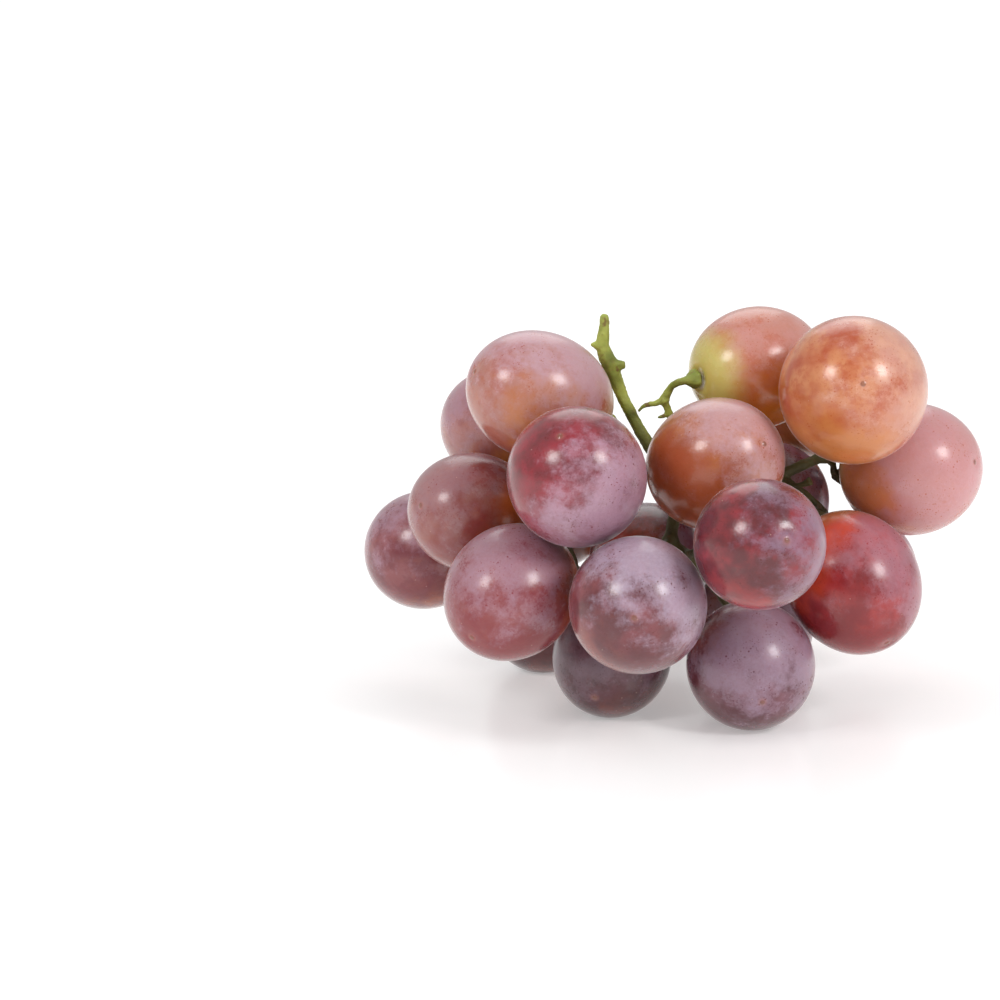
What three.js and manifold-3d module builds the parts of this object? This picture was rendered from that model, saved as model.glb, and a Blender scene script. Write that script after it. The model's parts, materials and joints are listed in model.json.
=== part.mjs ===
// A bunch of large red table grapes lying on its side on a table.
// Units are millimetres, Z points up and the table is at z = 0.
// X runs to the right of the photograph and Y runs away from the viewer.
import * as THREE from "three";
import { mergeVertices } from "three/addons/utils/BufferGeometryUtils.js";
import Module from "manifold-3d";

const wasm = await Module();
wasm.setup();

// Facets around and along a berry, and around and along a piece of stem
const BERRY_SIDES = 18;
const BERRY_RINGS = 11;
const STEM_SIDES = 6;
const STEM_STEPS = 2;

// The hollow at the stem end of every berry: depth on the axis, then radius and depth of its floor
const HOLLOW_DEPTH = 1.1;
const HOLLOW_FLOOR_RADIUS = 1.7;
const HOLLOW_FLOOR_DEPTH = 0.85;
const HOLLOW_RIM_ANGLE = 0.26;

// The swollen end of a pedicel, as distance from the berry's end and radius
const CAP_RINGS = [
  [2.6, 0.9],
  [1.0, 2.0],
  [0.1, 2.1],
  [-0.5, 1.2],
];
const PEDICEL_RADIUS = 0.75;
const PEDICEL_BASE_RADIUS = 1.0;

// A box big enough to trim the standing berries flat at the table
const TRIM_SIZE = 400;

const SKINS = {
  amber: { color: 0xc07048, roughness: 0.35 },
  rose: { color: 0xa8636a, roughness: 0.42 },
  crimson: { color: 0x8c3540, roughness: 0.38 },
  plum: { color: 0x6f3c48, roughness: 0.45 },
};
const STEM_LOOK = { color: 0x8a9440, roughness: 0.7 };

// Each berry: centre, diameter, length, direction of its blossom end, skin
const BERRIES = {
  berry_top_left: [[-26.5, 9, 61.5], 24.8, 30, [-0.85, -0.37, 0.38], "rose"],
  berry_left_rear: [[-34, 33, 51.5], 23.5, 25, [-0.8, 0.5, 0.3], "rose"],
  berry_left: [[-39.5, 13, 38], 23.4, 27, [-0.75, -0.62, 0.22], "rose"],
  berry_left_low: [[-32, -8.5, 27], 24.8, 28, [-0.54, -0.7, -0.47], "plum"],
  berry_front_left: [[-20, -14, 50], 26, 27, [-0.25, -0.67, 0.69], "crimson"],
  berry_front_middle: [[-9, -23.5, 28], 25.4, 26.4, [-0.1, -1, 0.05], "plum"],
  berry_foot_left: [[-12.5, 4.5, 11.2], 23, 25, [-0.3, -0.84, -0.45], "plum"],
  berry_foot_front: [[13.5, -5, 11.9], 24.6, 25.6, [0.1, -0.94, -0.33], "plum"],
  berry_front_right: [[12.5, -29, 40.5], 23.8, 25.2, [0.3, -0.92, 0.25], "crimson"],
  berry_right_low: [[33.5, 2, 26.5], 25.6, 29, [0.4, -0.6, -0.7], "crimson"],
  berry_top_right: [[32, -3, 64.5], 28, 29, [0, -0.97, 0.23], "amber"],
  berry_right: [[46, 16, 46], 26, 28.5, [0.8, -0.57, 0.2], "rose"],
  berry_top_middle: [[16, 19.5, 65.5], 24, 28, [0.87, 0.48, 0.08], "amber"],
  berry_middle: [[6.5, -0.5, 50], 25, 28.5, [0.6, -0.7, 0.4], "amber"],
  berry_far_left: [[-49.5, 34, 26], 24, 25, [-0.8, 0.5, -0.3], "plum"],
  berry_foot_rear_left: [[-25, 38, 11.7], 24, 25, [-0.4, 0.6, -0.7], "plum"],
  berry_core: [[-4.5, 31, 24.5], 23.5, 25, [0, 0.95, -0.3], "crimson"],
  berry_inner_right: [[20, 28, 37.5], 23.5, 25, [0.1, 0.9, -0.4], "crimson"],
  berry_foot_rear_right: [[17, 29, 12], 24.5, 25.5, [0.4, 0.5, -0.75], "plum"],
  berry_rear_left: [[-23, 55, 30], 24.5, 26, [-0.3, 0.95, 0], "crimson"],
  berry_rear_middle: [[12, 51.5, 43], 24, 25.5, [0.25, 0.95, 0.1], "rose"],
  berry_rear_right: [[31.8, 42.2, 55.6], 24.5, 26.5, [0.15, 0.9, 0.28], "amber"],
  berry_rear_right_low: [[39, 35, 21.5], 23.5, 25, [0.45, 0.7, -0.55], "rose"],
  berry_rear_right_end: [[50.2, 48, 40], 23, 24.5, [0.7, 0.7, 0.05], "rose"],
  berry_rear_low: [[-1, 57.5, 19], 24, 25, [-0.15, 0.9, -0.45], "plum"],
};
const STANDING = [
  "berry_foot_left",
  "berry_foot_front",
  "berry_foot_rear_left",
  "berry_foot_rear_right",
];

// Places where the stem branches
const HUB = [-1, 16, 46];
const LEFT_NODE = [-19, 18, 42];
const LEFT_FORK = [-23, 16, 36];
const LEFT_END = [-23.5, 14, 32];
const DOWN_FORK = [0.5, 14, 39.5];
const DOWN_NODE = [-1, 11.5, 33];
const DOWN_END = [2, 10, 30];
const RIGHT_FORK = [3, 16.5, 42];
const RIGHT_MIDDLE = [12, 15.5, 41.5];
const RIGHT_NODE = [20, 14, 45];
const RIGHT_END = [29, 16, 48.5];
const TOP_NODE = [-2.3, 14.5, 59.8];

// The stem's main branches and broken stubs: each ring is x, y, z, radius
const BRANCHES = [
  // the peduncle, from its rounded cut end down to the hub
  [
    [-14, 17, 76.4, 0.55],
    [-14, 17, 75.8, 0.95],
    [-14, 17, 73, 1.15],
    [-14.3, 17, 70, 1.5],
    [-12.8, 17.5, 66.5, 1.8],
    [-11.5, 18, 63, 1.45],
    [-10.3, 18, 60, 1.25],
    [-8, 17.5, 55.5, 1.25],
    [-6, 16.8, 52, 1.35],
    [-4, 16.3, 49.3, 1.5],
    [...HUB, 1.6],
  ],
  // the pointed bud scar and the round knob on the peduncle
  [[-14.2, 17, 69.7, 1.1], [-15.4, 16.6, 70.2, 0.9], [-16.6, 16.2, 70.6, 0.5]],
  [[-12.6, 17.5, 66.3, 1.3], [-11, 17.5, 66.2, 1.2], [-9.8, 17.5, 66.4, 0.8]],
  // right, left and down from the hub
  [
    [...HUB, 1.6],
    [...RIGHT_FORK, 1.5],
    [...RIGHT_MIDDLE, 1.35],
    [...RIGHT_NODE, 1.25],
    [25, 14, 47.3, 1.15],
    [...RIGHT_END, 1.15],
  ],
  [[...HUB, 1.6], [-10.5, 17.5, 44.5, 1.4], [...LEFT_NODE, 1.3], [...LEFT_FORK, 1.1], [...LEFT_END, 1.0]],
  [[...HUB, 1.6], [...DOWN_FORK, 1.4], [...DOWN_NODE, 1.3], [...DOWN_END, 1.2]],
  // the side shoot that rises behind the middle berry, with its broken tips
  [[...RIGHT_FORK, 1.1], [2, 17.5, 49, 0.9], [-0.8, 15.8, 56, 0.8], [...TOP_NODE, 0.9]],
  [[...TOP_NODE, 0.75], [-4.2, 14.5, 59.2, 0.6], [-6, 14.5, 58.9, 0.55], [-7.4, 14.5, 57.6, 0.4]],
  [[-1.2, 15.5, 57, 0.6], [-2.6, 15, 56.6, 0.45], [-3.6, 15, 56.3, 0.35]],
  // a bare pedicel between the right berries
  [[...RIGHT_NODE, 0.75], [22.5, 11.5, 43.8, 0.6], [24.2, 10, 44, 0.65], [25.8, 9, 45, 0.95]],
];

// Swellings at the branching places: place and radius
const SWELLINGS = [
  [HUB, 2.0],
  [LEFT_NODE, 1.8],
  [LEFT_FORK, 1.4],
  [LEFT_END, 1.3],
  [DOWN_FORK, 1.7],
  [DOWN_NODE, 1.8],
  [DOWN_END, 1.5],
  [RIGHT_FORK, 1.8],
  [RIGHT_MIDDLE, 1.6],
  [RIGHT_NODE, 1.7],
  [RIGHT_END, 1.7],
  [TOP_NODE, 1.2],
];

// The pedicel of each berry: the places it passes before it meets the berry
const PEDICELS = {
  berry_top_left: [[-10.5, 17.5, 44.5], [-12.5, 17, 50]],
  berry_left_rear: [LEFT_NODE, [-20.5, 21, 45.5]],
  berry_left: [LEFT_NODE, [-24, 20.5, 38.5]],
  berry_left_low: [LEFT_FORK, [-21.5, 9, 37]],
  berry_front_left: [LEFT_NODE, [-18.5, 8.5, 39]],
  berry_front_middle: [DOWN_NODE, [-5.5, 0, 29]],
  berry_foot_left: [DOWN_NODE, [-5, 16, 25]],
  berry_foot_front: [DOWN_END, [8.5, 12.5, 22]],
  berry_front_right: [DOWN_END, [5.5, -4, 34.5]],
  berry_right_low: [RIGHT_NODE, [24, 13, 42.5]],
  berry_top_right: [RIGHT_END, [30.5, 16, 55]],
  berry_right: [RIGHT_END, [31.5, 21, 46]],
  berry_top_middle: [TOP_NODE, [-1, 13.6, 62.8]],
  berry_middle: [HUB],
  berry_far_left: [LEFT_END, [-30.5, 22, 30.5]],
  berry_foot_rear_left: [LEFT_END, [-20.5, 22, 29]],
  berry_core: [DOWN_NODE, [-2.5, 13.8, 31]],
  berry_inner_right: [RIGHT_MIDDLE],
  berry_foot_rear_right: [DOWN_END, [8, 15, 28]],
  berry_rear_left: [LEFT_NODE, [-17, 26, 40], [-18, 35.5, 34]],
  berry_rear_middle: [RIGHT_FORK, [4, 27, 43]],
  berry_rear_right: [RIGHT_END, [27, 22, 50]],
  berry_rear_right_low: [RIGHT_NODE, [29.5, 17, 37.5]],
  berry_rear_right_end: [RIGHT_END, [33, 28, 46.5]],
  berry_rear_low: [RIGHT_FORK, [4, 27, 42.5], [5, 40, 36]],
};

// A closed body for boolean work from a geometry of plain triangles
function toBody(geometry) {
  const bare = geometry.clone();
  bare.deleteAttribute("normal");
  bare.deleteAttribute("uv");
  const merged = mergeVertices(bare, 1e-4);
  const mesh = new wasm.Mesh({
    numProp: 3,
    vertProperties: new Float32Array(merged.attributes.position.array),
    triVerts: new Uint32Array(merged.index.array),
  });
  return new wasm.Manifold(mesh);
}

function fromBody(body) {
  const mesh = body.getMesh();
  const geometry = new THREE.BufferGeometry();
  geometry.setAttribute("position", new THREE.BufferAttribute(new Float32Array(mesh.vertProperties), 3));
  geometry.setIndex(new THREE.BufferAttribute(new Uint32Array(mesh.triVerts), 1));
  return geometry;
}

// An egg-shaped berry around +Y, blossom end up, with a shallow hollow at the stem end
function berryGeometry(diameter, length) {
  const half = length / 2;
  const profile = [
    new THREE.Vector2(0, -half + HOLLOW_DEPTH),
    new THREE.Vector2(HOLLOW_FLOOR_RADIUS, -half + HOLLOW_FLOOR_DEPTH),
  ];
  for (let ring = 0; ring <= BERRY_RINGS; ring += 1) {
    const angle = HOLLOW_RIM_ANGLE + ((Math.PI - HOLLOW_RIM_ANGLE) * ring) / BERRY_RINGS;
    const radius = ring === BERRY_RINGS ? 0 : (diameter / 2) * Math.sin(angle);
    profile.push(new THREE.Vector2(radius, -half * Math.cos(angle)));
  }
  return new THREE.LatheGeometry(profile, BERRY_SIDES);
}

function placedBerry(name) {
  const [centre, diameter, length, blossom] = BERRIES[name];
  const geometry = berryGeometry(diameter, length);
  const direction = new THREE.Vector3(...blossom).normalize();
  const turn = new THREE.Quaternion().setFromUnitVectors(new THREE.Vector3(0, 1, 0), direction);
  geometry.applyQuaternion(turn);
  geometry.translate(...centre);
  if (!STANDING.includes(name)) {
    return fromBody(toBody(geometry));
  }
  const above = new THREE.BoxGeometry(TRIM_SIZE, TRIM_SIZE, TRIM_SIZE);
  above.translate(0, 0, TRIM_SIZE / 2);
  return fromBody(toBody(geometry).intersect(toBody(above)));
}

// A round tube of changing thickness through a list of rings, closed at both ends
function tubeGeometry(rings) {
  const places = rings.map((ring) => new THREE.Vector3(ring[0], ring[1], ring[2]));
  const curve = new THREE.CatmullRomCurve3(places, false, "centripetal");
  const steps = (rings.length - 1) * STEM_STEPS;
  const centres = [];
  const radii = [];
  for (let step = 0; step <= steps; step += 1) {
    const along = step / STEM_STEPS;
    const before = Math.min(Math.floor(along), rings.length - 2);
    const part = along - before;
    centres.push(curve.getPoint(step / steps));
    radii.push(rings[before][3] * (1 - part) + rings[before + 1][3] * part);
  }
  const positions = [];
  let side = new THREE.Vector3(0.31, 0.74, 0.6);
  centres.forEach((centre, step) => {
    const next = centres[Math.min(step + 1, steps)];
    const last = centres[Math.max(step - 1, 0)];
    const tangent = next.clone().sub(last).normalize();
    side = side.clone().addScaledVector(tangent, -side.dot(tangent)).normalize();
    const other = tangent.clone().cross(side);
    for (let corner = 0; corner < STEM_SIDES; corner += 1) {
      const angle = (2 * Math.PI * corner) / STEM_SIDES;
      const place = centre.clone();
      place.addScaledVector(side, radii[step] * Math.cos(angle));
      place.addScaledVector(other, radii[step] * Math.sin(angle));
      positions.push(place.x, place.y, place.z);
    }
  });
  const firstCentre = positions.length / 3;
  positions.push(...centres[0].toArray(), ...centres[steps].toArray());
  const triangles = [];
  for (let step = 0; step < steps; step += 1) {
    for (let corner = 0; corner < STEM_SIDES; corner += 1) {
      const a = step * STEM_SIDES + corner;
      const b = step * STEM_SIDES + ((corner + 1) % STEM_SIDES);
      triangles.push(a, b, b + STEM_SIDES, a, b + STEM_SIDES, a + STEM_SIDES);
    }
  }
  const lastRing = steps * STEM_SIDES;
  for (let corner = 0; corner < STEM_SIDES; corner += 1) {
    const following = (corner + 1) % STEM_SIDES;
    triangles.push(firstCentre, following, corner);
    triangles.push(firstCentre + 1, lastRing + corner, lastRing + following);
  }
  const geometry = new THREE.BufferGeometry();
  geometry.setAttribute("position", new THREE.Float32BufferAttribute(positions, 3));
  geometry.setIndex(triangles);
  return geometry;
}

// The pedicel of one berry, ending in the swollen cap that sits in the berry's hollow
function pedicelGeometry(name) {
  const [centre, , length, blossom] = BERRIES[name];
  const direction = new THREE.Vector3(...blossom).normalize();
  const rings = PEDICELS[name].map((place, index) => {
    const radius = index === 0 ? PEDICEL_BASE_RADIUS : PEDICEL_RADIUS;
    return [...place, radius];
  });
  for (const [distance, radius] of CAP_RINGS) {
    const place = new THREE.Vector3(...centre).addScaledVector(direction, -(length / 2 + distance));
    rings.push([place.x, place.y, place.z, radius]);
  }
  return tubeGeometry(rings);
}

function swellingGeometry([place, radius]) {
  const geometry = new THREE.SphereGeometry(radius, STEM_SIDES, 5);
  geometry.translate(...place);
  return geometry;
}

function stemGeometry() {
  const branches = BRANCHES.map(tubeGeometry);
  const pedicels = Object.keys(PEDICELS).map(pedicelGeometry);
  const swellings = SWELLINGS.map(swellingGeometry);
  const bodies = [...branches, ...pedicels, ...swellings].map(toBody);
  return fromBody(wasm.Manifold.union(bodies));
}

// Shifts the finished pieces so that the bunch stands with the middle of its box over the origin
function centred(pieces) {
  const box = new THREE.Box3();
  for (const piece of pieces) {
    piece.geometry.computeBoundingBox();
    box.union(piece.geometry.boundingBox);
  }
  const middle = box.getCenter(new THREE.Vector3());
  for (const piece of pieces) {
    piece.geometry.translate(-middle.x, -middle.y, 0);
  }
  return pieces;
}

function piece(name, geometry, look) {
  const material = new THREE.MeshStandardMaterial({ metalness: 0, ...look });
  const mesh = new THREE.Mesh(geometry, material);
  mesh.name = name;
  return mesh;
}

const berries = Object.keys(BERRIES).map((name) => piece(name, placedBerry(name), SKINS[BERRIES[name][4]]));
const stem = piece("stem", stemGeometry(), STEM_LOOK);
const bunch = new THREE.Group();
bunch.name = "bunch_of_grapes";
bunch.add(...centred([...berries, stem]));

export default bunch;
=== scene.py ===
# The look of a bunch of large red table grapes on a white table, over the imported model.
# Lengths are in metres in the part's own frame: X right, Y away from the camera, Z up.
import json
import math

import bpy
from mathutils import Matrix, Vector, noise

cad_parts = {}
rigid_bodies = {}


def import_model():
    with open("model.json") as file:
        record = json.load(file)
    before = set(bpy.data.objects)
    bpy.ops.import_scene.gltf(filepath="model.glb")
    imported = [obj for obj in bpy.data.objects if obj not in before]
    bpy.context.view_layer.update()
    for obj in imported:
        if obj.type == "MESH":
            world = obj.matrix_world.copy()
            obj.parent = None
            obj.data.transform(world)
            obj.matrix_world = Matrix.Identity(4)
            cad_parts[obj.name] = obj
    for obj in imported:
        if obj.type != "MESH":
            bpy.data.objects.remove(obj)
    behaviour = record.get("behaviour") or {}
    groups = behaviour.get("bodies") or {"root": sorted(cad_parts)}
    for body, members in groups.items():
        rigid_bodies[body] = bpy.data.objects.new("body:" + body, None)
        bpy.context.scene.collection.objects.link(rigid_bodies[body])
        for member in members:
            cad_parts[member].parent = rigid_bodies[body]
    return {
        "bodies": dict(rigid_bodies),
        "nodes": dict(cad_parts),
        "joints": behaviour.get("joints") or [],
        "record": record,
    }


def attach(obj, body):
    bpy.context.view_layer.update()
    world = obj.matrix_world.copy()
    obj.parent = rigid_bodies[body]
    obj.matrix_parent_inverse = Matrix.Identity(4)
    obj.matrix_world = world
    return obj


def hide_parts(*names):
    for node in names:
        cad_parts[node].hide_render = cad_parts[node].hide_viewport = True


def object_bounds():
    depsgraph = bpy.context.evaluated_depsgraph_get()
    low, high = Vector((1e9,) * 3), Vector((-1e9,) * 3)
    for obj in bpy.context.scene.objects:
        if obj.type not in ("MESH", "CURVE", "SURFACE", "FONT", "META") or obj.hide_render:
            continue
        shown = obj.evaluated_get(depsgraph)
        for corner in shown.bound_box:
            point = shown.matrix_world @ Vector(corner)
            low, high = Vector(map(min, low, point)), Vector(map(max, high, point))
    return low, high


MM = 0.001
UNIT = 0.0125  # about half a berry's thickness: skin patterns are measured in this length

# Camera: a 100 mm lens on a 36 mm sensor, looking 11 degrees down
CAMERA_PLACE = Vector((-0.0343, -0.5320, 0.1436))
CAMERA_PITCH = math.radians(11)
CAMERA_LENS = 100
CAMERA_SENSOR = 36
CAMERA_CLIP = 0.01

# Directions as the camera sees them
RIGHT = Vector((1, 0, 0))
UP = Vector((0, math.sin(CAMERA_PITCH), math.cos(CAMERA_PITCH)))
NEAR = Vector((0, -math.cos(CAMERA_PITCH), math.sin(CAMERA_PITCH)))

# Softboxes: azimuth from the camera's side and elevation in degrees, distance, size and power
SOFTBOXES = {
    "softbox_left": (-48, 34, 0.75, 0.2, 1.6),
    "softbox_right": (46, 34, 0.75, 0.2, 2.0),
    "softbox_back": (180, 46, 0.9, 0.6, 1.5),
}
LIGHT_AIM = Vector((0, 0, 0.04))
WORLD_STRENGTH = 0.62

# The white table shines a little by itself, more so away from the bunch, to vanish in the white.
# It reaches far to all four sides, and the fade is in distances from the bunch.
FLOOR_REACH = 14.0
FLOOR_FADE = (0.06, 0.7)
FLOOR_GLOW_NEAR = 0.31
FLOOR_GLOW_MORE = 0.17
FLOOR_SURFACE = dict(Base_Color=(0.9, 0.9, 0.9, 1.0), Roughness=0.22, IOR=1.45)
WHITE = (1.0, 1.0, 1.0, 1.0)

# The hollow where the pedicel enters and the scar at the blossom end
HOLLOW_DEPTH = 1.1 * MM
HOLLOW_RADIUS = 3.3 * MM
SCAR_RADIUS = 0.6 * MM
SCAR_HEIGHT = 0.22 * MM
SCAR_STEEPNESS = 1.6
SCAR_DIP = 0.3 * MM
SCAR_DIP_RADIUS = 1.6 * MM

# A berry's mesh, and the slow and fine unevenness by which its skin sinks
BERRY_AROUND = 96
BERRY_ALONG = 64
RING_CROWDING = 0.055
UNEVEN = 0.07 * MM
UNEVEN_SLOW = 0.9
UNEVEN_FINE = 2.6
UNEVEN_SLOW_SHARE = 0.75
UNEVEN_FINE_SHARE = 0.25

# The stem's mesh, and its bark in repeats per metre with the share of each
STEM_VOXEL = 0.28 * MM
STEM_SOFTEN = 0.6
STEM_SOFTEN_ROUNDS = 5
STEM_ROUGH = 0.14 * MM
BARK_SLOW = 420
BARK_FINE = 1300
BARK_SLOW_SHARE = 0.9
BARK_FINE_SHARE = 0.6

# Noise of the skin: repeats per UNIT, detail, roughness and twist
TONES = (1.5, 3.0, 0.55)
STREAKS = (1.6, 3.0, 0.6)
BLOTCHES = (4.6, 6.0, 0.68, 0.1)
GLOW_EDGE = (2.3, 3.0)
FILM_PATCHES = (2.0, 6.0, 0.62, 0.12)
FILM_EDGE = (9.0, 6.0, 0.75)
FILM_GRAIN = (18.0, 6.0, 0.78)
CLUSTERS = (2.6, 2.0)
DIMPLES = (26.0, 2.0, 0.6)

# Cells of the skin: repeats per UNIT
PIT_CELLS = 11.0
DOT_CELLS = 24.0
PORE_CELLS = 5.0

# Where each pattern starts to show and where it shows fully
TONES_SHOW = (0.38, 0.62)
STREAKS_SHOW = (0.5, 0.75)
BLOTCHES_SHOW = (0.48, 0.62)
# Painted shade: where the darker underside starts and where it is full
PAINTED_SHADE_SHOWS = (0.0, 0.95)
CLUSTERS_SHOW = (0.44, 0.62)
PITS_SHOW = (0.2, 0.1)
DOTS_SHOW = (0.24, 0.12)
PORES_SHOW = (0.05, 0.025)
HALO_SHOWS = (-0.58, -1.0)
BLOSSOM_SHOWS = (0.5, 0.7)
RING_SHOWS = (0.1, 0.04)
SPOT_SHOWS = (0.05, 0.03)

# How strongly each pattern tints the skin
STREAK_STRETCH = (5.5, 5.5, 0.7)
STREAK_TINT = 0.22
BLOTCH_TINT = 0.5
# Painted shade: how much the underside darkens
PAINTED_SHADE_TINT = 0.7
SPECK_TINT = 0.45
PORE_TINT = 0.5
RING_TINT = 0.25
SPOT_TINT = 0.7

# The warm glow, painted light shining through the flesh: its limits, how they move with its reach, and
# how far its edge wanders
GLOW_LOW = 0.95
GLOW_LOW_BY_REACH = 1.1
GLOW_HIGH = 1.35
GLOW_HIGH_BY_REACH = 0.7
GLOW_WANDER = 1.1
HALO_WANDER = 0.22

# The waxy bloom: its limits, what shifts them, and the thin film that lies everywhere
FILM_LOW = 0.68
FILM_HIGH = 1.04
FILM_BY_COVER = 0.5
FILM_BY_SIDE = 0.3
FILM_RAGGED = 0.26
FILM_CUT_BY_GLOW = 0.7
FILM_CUT_BY_SPECKS = 0.8
FILM_EVERYWHERE = 0.06
GRAIN_CONTRAST = 0.8
GRAIN_LEAST = 0.6
DOT_SHARE = 0.85

# The skin's gloss: bloom makes it rougher and specks make it smoother
SKIN_ROUGHNESS = 0.2
ROUGHER_BY_FILM = 0.22
SMOOTHER_BY_SPECKS = 0.08
SKIN_SURFACE = dict(
    Subsurface_Weight=0.2, Subsurface_Scale=0.004, Subsurface_Radius=(1.0, 0.4, 0.22), IOR=1.42,
    Sheen_Weight=0.5, Sheen_Roughness=0.16, Sheen_Tint=(1.0, 0.9, 0.94, 1.0),
    Coat_Weight=0.5, Coat_Roughness=0.2)
PIT_DEPTH = 0.4
SKIN_BUMP = 0.1 * MM
SKIN_BUMP_STRENGTH = 0.35

# The white that the gloss adds to every skin colour, and the least that is left without it
GLOSS_LIFT = 0.03
DARKEST = 0.004

# Each berry has its own seed, which shifts its patterns along each axis
SEED_FIRST = 11
SEED_STEP = 7
SEED_SHIFT = (3.7, 1.9, 5.3)

# The stem's noise, in repeats per millimetre, and its surface
STEM_TONES = (0.12, 3.0, 0.6)
STEM_FINE = (0.9, 4.0, 0.65)
STEM_WARTS = (0.45, 2.0)
STEM_GRAIN = (2.2, 4.0, 0.7)
STEM_TONES_SHOW = (0.35, 0.65)
STEM_FINE_SHOWS = (0.5, 0.72)
STEM_WARTS_SHOW = (0.6, 0.72)
# Painted shade on the stem: heights in millimetres where it starts and where it is full
STEM_PAINTED_SHADE_SHOWS = (60.0, 45.0)
STEM_FINE_TINT = 0.55
STEM_WART_TINT = 0.7
STEM_PAINTED_SHADE_TINT = 0.88
STEM_GRAIN_SHARE = 0.7
STEM_SURFACE = dict(
    Roughness=0.55, Subsurface_Weight=0.12, Subsurface_Scale=0.0015, Subsurface_Radius=(0.6, 1.0, 0.3))
STEM_BUMP = 0.25 * MM
STEM_BUMP_STRENGTH = 0.5


def linear(red, green, blue):
    """A screen colour from 0 to 255 as the linear values that the shader takes."""
    out = []
    for value in (red, green, blue):
        part = value / 255
        out.append(part / 12.92 if part <= 0.04045 else ((part + 0.055) / 1.055) ** 2.4)
    return (*out, 1.0)


def bare(red, green, blue):
    """A photographed skin colour without the white that the gloss adds to it."""
    return tuple(max(value - GLOSS_LIFT, DARKEST) for value in linear(red, green, blue)[:3]) + (1.0,)


def seen(right, up, near):
    """A direction given as the camera sees it, as a direction of the part's frame."""
    return (RIGHT * right + UP * up + NEAR * near).normalized()


HALO_COLOR = linear(206, 196, 104)
PORE_COLOR = linear(224, 186, 170)
RING_COLOR = linear(190, 120, 104)
SPOT_COLOR = linear(122, 76, 56)
STEM_DARK = linear(112, 122, 42)
STEM_LIGHT = linear(176, 184, 84)
STEM_BROWN = linear(134, 118, 58)
# Painted shade: the dark brown of the stem inside the bunch
STEM_PAINTED_SHADE = linear(58, 44, 24)
STEM_WART = linear(108, 66, 38)
LILAC = bare(186, 154, 170)
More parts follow.
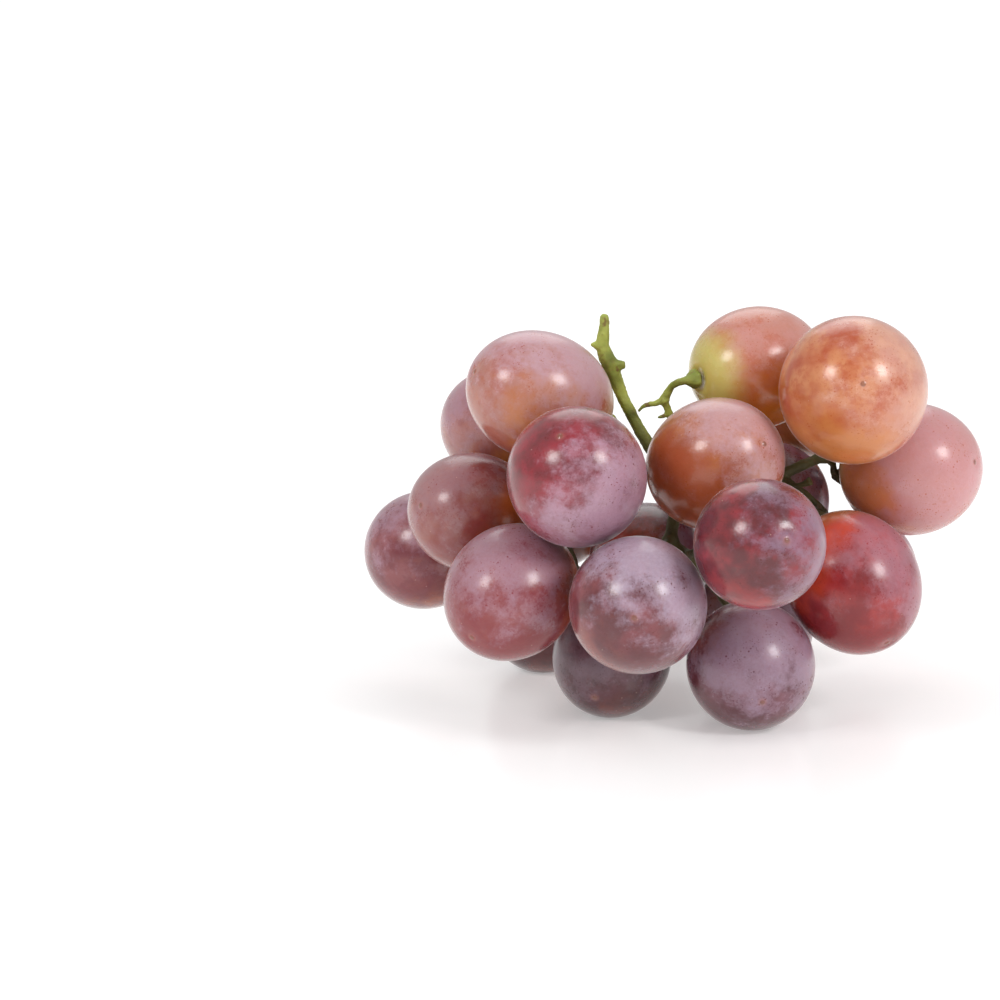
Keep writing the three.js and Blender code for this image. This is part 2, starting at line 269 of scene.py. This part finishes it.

# Skin of each berry:
# flesh and dark are the bare skin's two tones, glow is a warm tone for the streaks and for painted
# light shining through the flesh on one side, with that side and its reach, film is the waxy bloom
# with its side, its amount and how much of the skin it covers, and halo is how much yellow-green there
# is round the stem.
SKIN = {
    "berry_top_left": dict(
        flesh=bare(178, 124, 110), dark=bare(168, 94, 76), glow=bare(190, 116, 66),
        painted_glow_side=seen(0.05, -0.35, 0.75), painted_glow_reach=0.3, film=bare(196, 160, 170),
        film_side=seen(0.5, 0.8, 0.1), film_amount=0.72, film_cover=0.68, halo=0.3),
    "berry_left_rear": dict(
        flesh=bare(172, 116, 108), dark=bare(150, 88, 82), glow=bare(200, 126, 72),
        painted_glow_side=seen(0.3, -0.8, 0.3), painted_glow_reach=0.5, film=LILAC,
        film_side=seen(-0.3, 0.8, 0.3), film_amount=0.5, film_cover=0.5, halo=0.2),
    "berry_left": dict(
        flesh=bare(154, 98, 88), dark=bare(140, 66, 60), glow=bare(188, 98, 40),
        painted_glow_side=seen(0.9, -0.1, 0.2), painted_glow_reach=0.6, film=bare(170, 136, 144),
        film_side=seen(-0.5, 0.7, 0.3), film_amount=0.5, film_cover=0.5, halo=0.3),
    "berry_left_low": dict(
        flesh=bare(146, 76, 74), dark=bare(136, 56, 58), glow=bare(184, 96, 60),
        painted_glow_side=seen(0.95, -0.1, 0.1), painted_glow_reach=0.3, film=bare(178, 144, 158),
        film_side=seen(0.1, 0.85, 0.35), film_amount=0.66, film_cover=0.56, halo=0.2),
    "berry_front_left": dict(
        flesh=bare(150, 50, 58), dark=bare(112, 26, 36), glow=bare(152, 66, 72),
        painted_glow_side=seen(-0.7, -0.6, 0.2), painted_glow_reach=0.2, film=bare(190, 156, 174),
        film_side=seen(0.7, -0.6, 0.2), film_amount=0.72, film_cover=0.6, halo=0.2),
    "berry_front_middle": dict(
        flesh=bare(138, 74, 76), dark=bare(100, 44, 50), glow=bare(142, 74, 62),
        painted_glow_side=seen(-0.6, -0.7, 0.1), painted_glow_reach=0.25, film=bare(184, 164, 182),
        film_side=seen(0.6, 0.75, 0.2), film_amount=0.76, film_cover=0.58, halo=0.2),
    # This berry's tones are darkened for the shade it lies in: painted shade over its own dark skin;
    # berry_rear_low borrows them.
    "berry_foot_left": dict(
        flesh=bare(112, 72, 78), dark=bare(82, 44, 52), glow=bare(120, 66, 58),
        painted_glow_side=seen(0.3, -0.8, 0.3), painted_glow_reach=0.2, film=bare(136, 114, 126),
        film_side=seen(-0.2, 0.6, 0.6), film_amount=0.6, film_cover=0.5, halo=0.2),
    "berry_foot_front": dict(
        flesh=bare(128, 76, 84), dark=bare(96, 44, 56), glow=bare(150, 74, 60),
        painted_glow_side=seen(-0.6, 0.6, 0.1), painted_glow_reach=0.25, film=bare(168, 142, 160),
        film_side=seen(0.1, 0.6, 0.75), film_amount=0.74, film_cover=0.54, halo=0.2),
    "berry_front_right": dict(
        flesh=bare(154, 58, 62), dark=bare(100, 26, 38), glow=bare(172, 62, 58),
        painted_glow_side=seen(-0.3, -0.9, 0.2), painted_glow_reach=0.3, film=bare(156, 130, 150),
        film_side=seen(0.95, 0.2, 0.1), film_amount=0.68, film_cover=0.44, halo=0.2),
    "berry_right_low": dict(
        flesh=bare(176, 66, 64), dark=bare(138, 34, 38), glow=bare(218, 84, 22),
        painted_glow_side=seen(-0.8, 0.6, 0.1), painted_glow_reach=0.55, film=bare(180, 132, 146),
        film_side=seen(0.55, 0.7, 0.3), film_amount=0.6, film_cover=0.5, halo=0.3),
    "berry_top_right": dict(
        flesh=bare(206, 136, 94), dark=bare(178, 82, 30), glow=bare(212, 136, 80),
        painted_glow_side=seen(-0.2, -0.9, 0.1), painted_glow_reach=0.55, film=bare(222, 178, 164),
        film_side=seen(0.9, 0.3, 0.2), film_amount=0.52, film_cover=0.52, halo=0.3),
    "berry_right": dict(
        flesh=bare(202, 124, 118), dark=bare(190, 106, 84), glow=bare(210, 124, 56),
        painted_glow_side=seen(-0.9, -0.4, 0.1), painted_glow_reach=0.55, film=bare(212, 168, 174),
        film_side=seen(-0.1, 0.2, 1.0), film_amount=0.56, film_cover=0.8, halo=0.3),
    "berry_top_middle": dict(
        flesh=bare(198, 122, 104), dark=bare(186, 100, 60), glow=bare(210, 124, 42),
        painted_glow_side=seen(0.5, -0.85, 0.1), painted_glow_reach=0.8, film=bare(208, 162, 158),
        film_side=seen(0.0, 0.9, 0.2), film_amount=0.5, film_cover=0.5, halo=0.85),
    "berry_middle": dict(
        flesh=bare(188, 110, 46), dark=bare(160, 84, 24), glow=bare(172, 88, 12),
        painted_glow_side=seen(-0.8, -0.55, 0.2), painted_glow_reach=0.85, film=bare(204, 168, 176),
        film_side=seen(0.6, 0.75, 0.3), film_amount=0.62, film_cover=0.54, halo=0.3),
    "berry_far_left": dict(
        flesh=bare(150, 88, 88), dark=bare(120, 56, 60), glow=bare(172, 96, 66),
        painted_glow_side=seen(0.4, -0.8, 0.2), painted_glow_reach=0.3, film=LILAC,
        film_side=seen(-0.2, 0.9, 0.1), film_amount=0.6, film_cover=0.5, halo=0.2),
    "berry_foot_rear_left": dict(
        flesh=bare(112, 62, 68), dark=bare(86, 42, 50), glow=bare(130, 70, 60),
        painted_glow_side=seen(0.3, -0.8, 0.3), painted_glow_reach=0.25, film=bare(156, 128, 142),
        film_side=seen(0.0, 0.9, -0.3), film_amount=0.6, film_cover=0.5, halo=0.2),
}

# Berries out of the photograph's sight borrow the skin of one in it
BORROWED_HALO = 0.08
BORROWED = {
    "berry_core": "berry_front_right",
    "berry_inner_right": "berry_front_right",
    "berry_foot_rear_right": "berry_foot_front",
    "berry_rear_left": "berry_left",
    "berry_rear_middle": "berry_top_left",
    "berry_rear_right": "berry_top_right",
    "berry_rear_right_low": "berry_left_low",
    "berry_rear_right_end": "berry_right",
    "berry_rear_low": "berry_foot_left",
}


def make_object(name, data, place=Matrix.Identity(4)):
    obj = bpy.data.objects.new(name, data)
    bpy.context.scene.collection.objects.link(obj)
    obj.matrix_world = place
    return obj


def make_smooth(mesh):
    mesh.polygons.foreach_set("use_smooth", [True] * len(mesh.polygons))
    mesh.update()


def held_inside(point, low, high):
    """The point, moved no further than onto the box from low to high."""
    return Vector([min(max(point[i], low[i]), high[i]) for i in range(3)])


class Shader:
    """A small helper that adds and links the nodes of one material."""

    def __init__(self, name):
        self.material = bpy.data.materials.new(name)
        self.material.use_nodes = True
        self.nodes = self.material.node_tree.nodes
        self.links = self.material.node_tree.links
        self.nodes.clear()
        self.output = self.nodes.new("ShaderNodeOutputMaterial")
        self.surface = self.nodes.new("ShaderNodeBsdfPrincipled")
        self.links.new(self.surface.outputs["BSDF"], self.output.inputs["Surface"])

    def put(self, socket, value):
        """Links a socket to another one, or sets it to a plain value."""
        if isinstance(value, bpy.types.NodeSocket):
            self.links.new(value, socket)
        else:
            socket.default_value = value

    def object_place(self):
        return self.nodes.new("ShaderNodeTexCoord").outputs["Object"]

    def math(self, kind, first, second=0.0, third=0.0):
        node = self.nodes.new("ShaderNodeMath")
        node.operation = kind
        self.put(node.inputs[0], first)
        self.put(node.inputs[1], second)
        self.put(node.inputs[2], third)
        return node.outputs[0]

    def vector(self, kind, first, second=(0, 0, 0)):
        node = self.nodes.new("ShaderNodeVectorMath")
        node.operation = kind
        self.put(node.inputs[0], first)
        self.put(node.inputs[1], second)
        return node.outputs["Value"] if kind in ("DOT_PRODUCT", "LENGTH") else node.outputs[0]

    def height(self, place):
        """The Z of a place."""
        node = self.nodes.new("ShaderNodeSeparateXYZ")
        self.put(node.inputs[0], place)
        return node.outputs["Z"]

    def noise(self, place, scale, detail, rough=0.5, twist=0.0):
        node = self.nodes.new("ShaderNodeTexNoise")
        self.put(node.inputs["Vector"], place)
        node.inputs["Scale"].default_value = scale
        node.inputs["Detail"].default_value = detail
        node.inputs["Roughness"].default_value = rough
        node.inputs["Distortion"].default_value = twist
        return node.outputs["Fac"]

    def cells(self, place, scale):
        """The distance from the middle of the nearest cell."""
        node = self.nodes.new("ShaderNodeTexVoronoi")
        self.put(node.inputs["Vector"], place)
        node.inputs["Scale"].default_value = scale
        return node.outputs["Distance"]

    def step(self, value, start, full):
        """0 on start's side, 1 on full's side and smooth between; start may be the larger one."""
        node = self.nodes.new("ShaderNodeMapRange")
        node.interpolation_type = "SMOOTHSTEP"
        self.put(node.inputs["Value"], value)
        flip = start > full
        node.inputs["From Min"].default_value = full if flip else start
        node.inputs["From Max"].default_value = start if flip else full
        node.inputs["To Min"].default_value = 1.0 if flip else 0.0
        node.inputs["To Max"].default_value = 0.0 if flip else 1.0
        return node.outputs["Result"]

    def mix(self, amount, first, second):
        """The first colour where the amount is 0, and the second where it is 1."""
        node = self.nodes.new("ShaderNodeMix")
        node.data_type = "RGBA"
        self.put(node.inputs["Factor"], amount)
        for socket in node.inputs:
            if socket.type == "RGBA":
                self.put(socket, first if socket.name == "A" else second)
        for socket in node.outputs:
            if socket.type == "RGBA":
                return socket

    def tint(self, color, shown, strength, other):
        """The colour, with some of the other one where a pattern shows."""
        return self.mix(self.math("MULTIPLY", shown, strength), color, other)

    def bump(self, height, distance, strength):
        node = self.nodes.new("ShaderNodeBump")
        node.inputs["Distance"].default_value = distance
        node.inputs["Strength"].default_value = strength
        self.put(node.inputs["Height"], height)
        self.put(self.surface.inputs["Normal"], node.outputs["Normal"])

    def set(self, **values):
        """Sets sockets of the surface; an underscore stands for the space in a socket's name."""
        for name, value in values.items():
            self.put(self.surface.inputs[name.replace("_", " ")], value)


def berry_place(s, to_own):
    """Places in UNITs in the berry's own space, where its axis is Z and its stem end is below."""
    own = s.nodes.new("ShaderNodeMapping")
    s.put(own.inputs["Vector"], s.object_place())
    own.inputs["Rotation"].default_value = to_own.to_euler()
    return s.vector("MULTIPLY", own.outputs[0], (1 / UNIT,) * 3)


def flesh_color(s, look, place, moved, to_own):
    """Two slow tones, faint streaks from end to end, darker blotches, and painted shade that darkens
    the underside as the camera sees it.
    """
    tones = s.step(s.noise(moved, *TONES), *TONES_SHOW)
    color = s.mix(tones, look["dark"], look["flesh"])
    stretched = s.vector("MULTIPLY", moved, STREAK_STRETCH)
    streaks = s.step(s.noise(stretched, *STREAKS), *STREAKS_SHOW)
    color = s.tint(color, streaks, STREAK_TINT, look["glow"])
    blotches = s.step(s.noise(moved, *BLOTCHES), *BLOTCHES_SHOW)
    color = s.tint(color, blotches, BLOTCH_TINT, look["dark"])
    # Painted shade: the skin darkens towards the bottom as the camera sees it
    down = s.vector("DOT_PRODUCT", place, to_own @ seen(0.0, -1.0, 0.0))
    return s.tint(color, s.step(down, *PAINTED_SHADE_SHOWS), PAINTED_SHADE_TINT, look["dark"])


def painted_glow_amount(s, look, place, wander, to_own):
    """Painted light: a warm glow on one side, as of light shining through the flesh."""
    toward = s.vector("DOT_PRODUCT", place, to_own @ look["painted_glow_side"])
    start = GLOW_LOW - GLOW_LOW_BY_REACH * look["painted_glow_reach"]
    full = GLOW_HIGH - GLOW_HIGH_BY_REACH * look["painted_glow_reach"]
    return s.step(s.math("ADD", toward, wander), start, full)


def film_amount(s, look, place, moved, glow, to_own):
    """Waxy bloom in patches, rubbed off elsewhere, with a broken edge."""
    toward = s.vector("DOT_PRODUCT", place, to_own @ look["film_side"])
    level = s.math("MULTIPLY_ADD", toward, FILM_BY_SIDE, s.noise(moved, *FILM_PATCHES))
    ragged = s.math("MULTIPLY_ADD", s.noise(moved, *FILM_EDGE), FILM_RAGGED, -FILM_RAGGED / 2)
    level = s.math("ADD", level, ragged)
    lower = FILM_BY_COVER * look["film_cover"]
    film = s.step(level, FILM_LOW - lower, FILM_HIGH - lower)
    film = s.math("MULTIPLY", film, s.math("MULTIPLY_ADD", glow, -FILM_CUT_BY_GLOW, 1.0))
    film = s.math("MULTIPLY_ADD", film, look["film_amount"], FILM_EVERYWHERE)
    grain = s.math("MULTIPLY_ADD", s.noise(moved, *FILM_GRAIN), GRAIN_CONTRAST, GRAIN_LEAST)
    return s.math("MULTIPLY", film, grain)


def speck_amount(s, moved, pits):
    """Clusters of dark pits and of smaller dots."""
    cluster = s.step(s.noise(moved, *CLUSTERS), *CLUSTERS_SHOW)
    dots = s.math("MULTIPLY", s.step(s.cells(moved, DOT_CELLS), *DOTS_SHOW), cluster)
    return s.math("MAXIMUM", s.math("MULTIPLY", pits, cluster), s.math("MULTIPLY", dots, DOT_SHARE))


def end_colors(s, look, place, wander, color):
    """Yellow-green round the stem, and the brown scar at the blossom end."""
    along = s.height(place)
    uneven = s.math("ADD", along, s.math("MULTIPLY", wander, HALO_WANDER))
    color = s.tint(color, s.step(uneven, *HALO_SHOWS), look["halo"], HALO_COLOR)
    off_axis = s.vector("LENGTH", s.vector("MULTIPLY", place, (1, 1, 0)))
    blossom = s.step(along, *BLOSSOM_SHOWS)
    ring = s.math("MULTIPLY", s.step(off_axis, *RING_SHOWS), blossom)
    spot = s.math("MULTIPLY", s.step(off_axis, *SPOT_SHOWS), blossom)
    color = s.tint(color, ring, RING_TINT, RING_COLOR)
    return s.tint(color, spot, SPOT_TINT, SPOT_COLOR)


def skin_material(name, look, turn, seed):
    """A berry's skin; turn is the berry's rotation, which brings its own space into the frame's."""
    s = Shader("skin_of_" + name)
    to_own = turn.transposed()
    place = berry_place(s, to_own)
    moved = s.vector("ADD", place, tuple(seed * shift for shift in SEED_SHIFT))
    wander = s.math("MULTIPLY_ADD", s.noise(moved, *GLOW_EDGE), GLOW_WANDER, -GLOW_WANDER / 2)
    pits = s.step(s.cells(moved, PIT_CELLS), *PITS_SHOW)

    glow = painted_glow_amount(s, look, place, wander, to_own)
    specks = speck_amount(s, moved, pits)
    film = film_amount(s, look, place, moved, glow, to_own)
    film = s.math("MULTIPLY", film, s.math("MULTIPLY_ADD", specks, -FILM_CUT_BY_SPECKS, 1.0))

    color = flesh_color(s, look, place, moved, to_own)
    # Painted light: the warm glow of light shining through the flesh on one side
    color = s.mix(glow, color, look["glow"])
    color = s.tint(color, specks, SPECK_TINT, look["dark"])
    color = s.mix(film, color, look["film"])
    pores = s.step(s.cells(moved, PORE_CELLS), *PORES_SHOW)
    color = s.tint(color, pores, PORE_TINT, PORE_COLOR)
    color = end_colors(s, look, place, wander, color)

    rough = s.math("MULTIPLY_ADD", film, ROUGHER_BY_FILM, SKIN_ROUGHNESS)
    rough = s.math("MULTIPLY_ADD", specks, -SMOOTHER_BY_SPECKS, rough)
    s.set(Base_Color=color, Roughness=rough, **SKIN_SURFACE)
    relief = s.math("MULTIPLY_ADD", pits, -PIT_DEPTH, s.noise(moved, *DIMPLES))
    s.bump(relief, SKIN_BUMP, SKIN_BUMP_STRENGTH)
    return s.material


def berry_ends(mesh):
    """The two corners of a CAD berry where the most facets meet: its stem end and blossom end."""
    meeting = {}
    for polygon in mesh.polygons:
        for index in polygon.vertices:
            corner = tuple(round(value, 6) for value in mesh.vertices[index].co)
            meeting[corner] = meeting.get(corner, 0) + 1
    order = sorted(meeting, key=lambda corner: -meeting[corner])
    return [Vector(order[0]), Vector(order[1])]


def berry_measure(mesh, stem_points):
    """Centre, direction of the blossom end, half length and radius of a CAD berry."""
    ends = berry_ends(mesh)
    reach = [min((end - point).length for point in stem_points) for end in ends]
    stem_end, blossom_end = ends if reach[0] < reach[1] else ends[::-1]
    axis = (blossom_end - stem_end).normalized()
    half = ((blossom_end - stem_end).length + HOLLOW_DEPTH) / 2
    centre = blossom_end - axis * half
    radius = 0.0
    for vertex in mesh.vertices:
        offset = vertex.co - centre
        radius = max(radius, (offset - axis * offset.dot(axis)).length)
    return centre, axis, half, radius


def smooth(value):
    """A soft step from 0 to 1."""
    value = min(max(value, 0.0), 1.0)
    return value * value * (3 - 2 * value)


def berry_profile(angle, half, radius):
    """Distance from the axis and height along it, with the hollow and the blossom scar."""
    across = radius * math.sin(angle)
    height = -half * math.cos(angle)
    if angle < math.pi / 2:
        height += HOLLOW_DEPTH * smooth(1 - across / HOLLOW_RADIUS)
    else:
        height -= SCAR_DIP * math.exp(-((across / SCAR_DIP_RADIUS) ** 2))
        height += SCAR_HEIGHT * smooth(SCAR_STEEPNESS - SCAR_STEEPNESS * across / SCAR_RADIUS)
    return across, height


def ring_angles():
    """Angles of the rings, closer together at the middle and at both ends, where the detail is."""
    parts = [ring / BERRY_ALONG for ring in range(1, BERRY_ALONG)]
    return [math.pi * (part - RING_CROWDING * math.sin(4 * math.pi * part)) for part in parts]


def berry_points(half, radius):
    """Points of a smooth berry with its axis along Z: the stem end, the rings, the blossom end."""
    points = [Vector((0, 0, berry_profile(0.0, half, radius)[1]))]
    for ring_angle in ring_angles():
        across, height = berry_profile(ring_angle, half, radius)
        for step in range(BERRY_AROUND):
            angle = 2 * math.pi * step / BERRY_AROUND
            points.append(Vector((across * math.cos(angle), across * math.sin(angle), height)))
    points.append(Vector((0, 0, berry_profile(math.pi, half, radius)[1])))
    return points


def berry_faces():
    """Triangles round both ends and quads between the rings."""
    faces = []
    last = 1 + (BERRY_ALONG - 1) * BERRY_AROUND
    last_ring = 1 + (BERRY_ALONG - 2) * BERRY_AROUND
    for step in range(BERRY_AROUND):
        following = (step + 1) % BERRY_AROUND
        faces.append((0, 1 + following, 1 + step))
        faces.append((last, last_ring + step, last_ring + following))
    for ring in range(BERRY_ALONG - 2):
        lower = 1 + ring * BERRY_AROUND
        upper = lower + BERRY_AROUND
        for step in range(BERRY_AROUND):
            following = (step + 1) % BERRY_AROUND
            faces.append((lower + step, lower + following, upper + following, upper + step))
    return faces


def uneven(point, seed):
    """A point of the smooth berry, sunk a little by slow and fine noise."""
    slow = noise.noise(point / UNIT * UNEVEN_SLOW + Vector((seed, 0, 0)))
    fine = noise.noise(point / UNIT * UNEVEN_FINE + Vector((0, seed, 0)))
    sink = UNEVEN * (1 + UNEVEN_SLOW_SHARE * slow + UNEVEN_FINE_SHARE * fine)
    return point - point.normalized() * sink


def fine_berry(name, measure, seed, low, high):
    """A finer copy of a CAD berry, inside the box from low to high, and the berry's rotation."""
    centre, axis, half, radius = measure
    turn = Vector((0, 0, 1)).rotation_difference(axis).to_matrix()
    corners = []
    for point in berry_points(half, radius):
        world = turn @ uneven(point, seed) + centre
        corners.append(tuple(held_inside(world, low, high) - centre))
    mesh = bpy.data.meshes.new(name)
    mesh.from_pydata(corners, [], berry_faces())
    make_smooth(mesh)
    return make_object(name, mesh, Matrix.Translation(centre)), turn


def stem_material():
    """Green and pale green above, with painted shade turning it dark brown lower down inside the
    bunch, and brown warts.
    """
    s = Shader("stem_skin")
    place = s.vector("MULTIPLY", s.object_place(), (1 / MM,) * 3)
    fine = s.noise(place, *STEM_FINE)
    color = s.mix(s.step(s.noise(place, *STEM_TONES), *STEM_TONES_SHOW), STEM_DARK, STEM_LIGHT)
    color = s.tint(color, s.step(fine, *STEM_FINE_SHOWS), STEM_FINE_TINT, STEM_BROWN)
    # Painted shade: the stem turns dark brown lower down, inside the bunch where shade falls
    inside = s.step(s.height(place), *STEM_PAINTED_SHADE_SHOWS)
    color = s.tint(color, inside, STEM_PAINTED_SHADE_TINT, STEM_PAINTED_SHADE)
    warts = s.step(s.noise(place, *STEM_WARTS), *STEM_WARTS_SHOW)
    color = s.tint(color, warts, STEM_WART_TINT, STEM_WART)
    s.set(Base_Color=color, **STEM_SURFACE)
    relief = s.math("MULTIPLY_ADD", s.noise(place, *STEM_GRAIN), STEM_GRAIN_SHARE, fine)
    s.bump(relief, STEM_BUMP, STEM_BUMP_STRENGTH)
    return s.material


def rounded_stem(obj):
    """The object's mesh made again from small voxels and softened."""
    remesh = obj.modifiers.new("remesh", "REMESH")
    remesh.mode = "VOXEL"
    remesh.voxel_size = STEM_VOXEL
    soften = obj.modifiers.new("soften", "SMOOTH")
    soften.factor = STEM_SOFTEN
    soften.iterations = STEM_SOFTEN_ROUNDS
    graph = bpy.context.evaluated_depsgraph_get()
    mesh = bpy.data.meshes.new_from_object(obj.evaluated_get(graph))
    obj.modifiers.clear()
    return mesh


def roughen_stem(mesh, low, high):
    """Bark: every point moves in or out by slow and fine noise and stays in the box."""
    normals = [vertex.normal.copy() for vertex in mesh.vertices]
    for vertex, normal in zip(mesh.vertices, normals):
        slow = noise.noise(vertex.co * BARK_SLOW)
        fine = noise.noise(vertex.co * BARK_FINE)
        shift = normal * STEM_ROUGH * (BARK_SLOW_SHARE * slow + BARK_FINE_SHARE * fine)
        vertex.co = held_inside(vertex.co + shift, low, high)


def fine_stem(node, low, high):
    """The CAD stem rounded off and roughened like bark."""
    obj = make_object("stem_grown", node.data.copy())
    mesh = rounded_stem(obj)
    obj.data = mesh
    roughen_stem(mesh, low, high)
    make_smooth(mesh)
    mesh.materials.clear()
    mesh.materials.append(stem_material())
    return obj


def add_floor():
    """The white table, which is no part of the object."""
    mesh = bpy.data.meshes.new("floor")
    far_side = FLOOR_REACH
    near_side = -FLOOR_REACH
    corners = [
        (near_side, near_side, 0), (far_side, near_side, 0),
        (far_side, far_side, 0), (near_side, far_side, 0)]
    mesh.from_pydata(corners, [], [(0, 1, 2, 3)])
    floor = make_object("floor", mesh)
    s = Shader("white_table")
    far = s.step(s.vector("LENGTH", s.object_place()), *FLOOR_FADE)
    glow = s.math("MULTIPLY_ADD", far, FLOOR_GLOW_MORE, FLOOR_GLOW_NEAR)
    s.set(Emission_Color=WHITE, Emission_Strength=glow, **FLOOR_SURFACE)
    mesh.materials.append(s.material)


def add_softbox(name, azimuth, elevation, distance, size, power):
    """A square soft light aimed at the bunch."""
    turn = math.radians(azimuth)
    rise = math.radians(elevation)
    away = Vector((math.sin(turn) * math.cos(rise), -math.cos(turn) * math.cos(rise), math.sin(rise)))
    light = bpy.data.lights.new(name, "AREA")
    light.shape = "SQUARE"
    light.size = size
    light.energy = power
    lamp = make_object(name, light)
    lamp.location = LIGHT_AIM + away * distance
    lamp.rotation_euler = (-away).to_track_quat("-Z", "Y").to_euler()


def add_world():
    """The white room round the bunch."""
    world = bpy.data.worlds.new("white_room")
    world.use_nodes = True
    background = world.node_tree.nodes["Background"]
    background.inputs["Color"].default_value = WHITE
    background.inputs["Strength"].default_value = WORLD_STRENGTH
    bpy.context.scene.world = world


def add_camera():
    camera = bpy.data.cameras.new("camera")
    camera.lens = CAMERA_LENS
    camera.sensor_width = CAMERA_SENSOR
    camera.clip_start = CAMERA_CLIP
    obj = make_object("camera", camera)
    obj.location = CAMERA_PLACE
    obj.rotation_euler = (math.pi / 2 - CAMERA_PITCH, 0, 0)
    bpy.context.scene.camera = obj


def berry_look(name):
    """The skin of a berry, borrowed from another where the photograph doesn't show it."""
    if name in BORROWED:
        return dict(SKIN[BORROWED[name]], halo=BORROWED_HALO)
    return SKIN[name]


def add_berries(frame, low, high):
    stem_points = [vertex.co for vertex in frame["nodes"]["stem"].data.vertices]
    names = sorted(name for name in frame["nodes"] if name.startswith("berry_"))
    for number, name in enumerate(names):
        seed = SEED_FIRST + SEED_STEP * number
        measure = berry_measure(frame["nodes"][name].data, stem_points)
        obj, turn = fine_berry(name.replace("berry", "grape"), measure, seed, low, high)
        obj.data.materials.append(skin_material(name, berry_look(name), turn, seed))
        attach(obj, "root")
        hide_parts(name)


def add_stem(frame, low, high):
    obj = fine_stem(frame["nodes"]["stem"], low, high)
    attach(obj, "root")
    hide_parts("stem")


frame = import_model()
cad_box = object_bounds()
add_berries(frame, *cad_box)
add_stem(frame, *cad_box)
add_floor()
add_world()
for name, values in SOFTBOXES.items():
    add_softbox(name, *values)
add_camera()
bpy.context.scene.view_settings.view_transform = "Standard"
